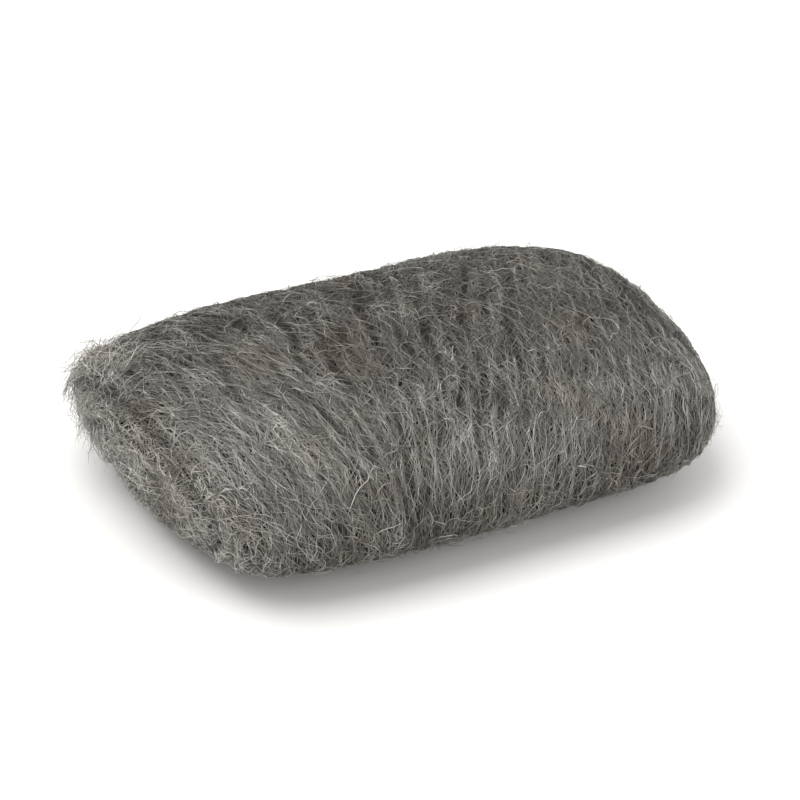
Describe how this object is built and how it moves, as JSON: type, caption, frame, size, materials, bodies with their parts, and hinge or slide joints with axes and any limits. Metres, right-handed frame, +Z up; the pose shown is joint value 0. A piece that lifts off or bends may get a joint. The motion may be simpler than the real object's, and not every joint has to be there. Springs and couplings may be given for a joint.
{
  "type": "steel wool pad",
  "caption": "Soft block of fine steel wool, a wide fibre ribbon rolled flat on itself, for hand scouring, rubbing down and polishing.",
  "frame": {"origin": "middle of the pad's footprint, on the surface that it lies on", "axes": "+X along the pad from its loose end to its tight end, +Y across it, the way the fibres are wrapped, +Z up through its thickness"},
  "size_m": [0.1246, 0.0766, 0.0327],
  "materials": {
    "steel_wool": "felted fine steel fibre, grey, with bright single fibres over dark gaps"
  },
  "bodies": {
    "root": {"steel_wool_pad": "steel_wool"}
  },
  "joints": []
}
